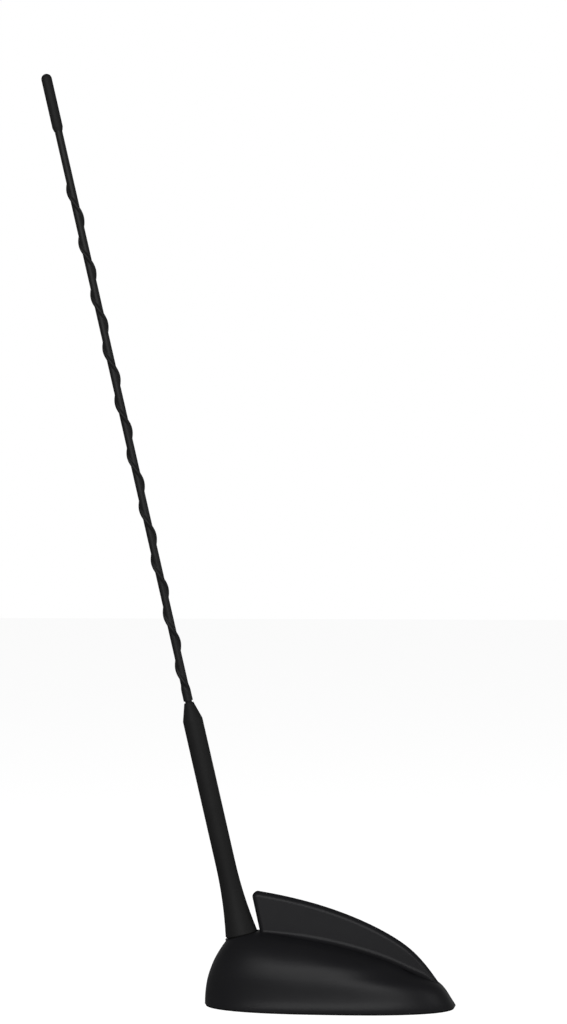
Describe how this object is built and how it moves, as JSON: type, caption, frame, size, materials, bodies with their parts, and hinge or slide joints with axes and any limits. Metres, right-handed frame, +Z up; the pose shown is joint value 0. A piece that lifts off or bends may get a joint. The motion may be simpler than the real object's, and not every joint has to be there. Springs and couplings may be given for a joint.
{
  "type": "car roof antenna with a shark fin base and a whip mast",
  "caption": "Black car roof antenna: a hollow oval base with a shark fin and a leaning whip mast with a spiral bead, which screws into the base's rear.",
  "frame": {"origin": "mouth of the threaded hole for the roof bolt, on the roof plane, at mid-length of the base", "axes": "+Z up from the roof, +X towards the base's low nose, so the mast leans to -X"},
  "size_m": [0.2598, 0.067, 0.5822],
  "materials": {
    "cover_plastic": "moulded, fine satin grain",
    "die_cast": "as cast",
    "seal_rubber": "matt",
    "plated_steel": "zinc plated",
    "circuit_board": "solder mask",
    "tinned_steel": "tinned",
    "patch_ceramic": "fired",
    "brass": "plain",
    "jack_plastic": "moulded",
    "foot_rubber": "moulded, fine matt grain",
    "glass_fibre": "pultruded",
    "sleeve_plastic": "shrunk, satin"
  },
  "bodies": {
    "base": {"fin_cover": "cover_plastic", "base_plate": "die_cast", "roof_seal": "seal_rubber", "cover_screws": "plated_steel", "amplifier_board": "circuit_board", "board_screws": "plated_steel", "shield_can": "tinned_steel", "satnav_patch": "patch_ceramic", "patch_pin": "brass", "phone_element": "circuit_board", "mast_socket": "brass", "contact_spring": "brass", "radio_jack": "jack_plastic", "satnav_jack": "jack_plastic", "phone_jack": "jack_plastic", "mast_washer": "seal_rubber"},
    "mast": {"mast_foot": "foot_rubber", "mast_stud": "plated_steel", "rod_core": "glass_fibre", "spiral_wire": "brass", "mast_sleeve": "sleeve_plastic", "tip_cap": "foot_rubber"}
  },
  "joints": [
    {"name": "mast_turn", "type": "hinge", "parent": "base", "child": "mast", "pos_m": [-0.05528, 0, 0.04358], "axis": [-0.2241, 0, 0.9746], "range_deg": [0, 360]}
  ]
}
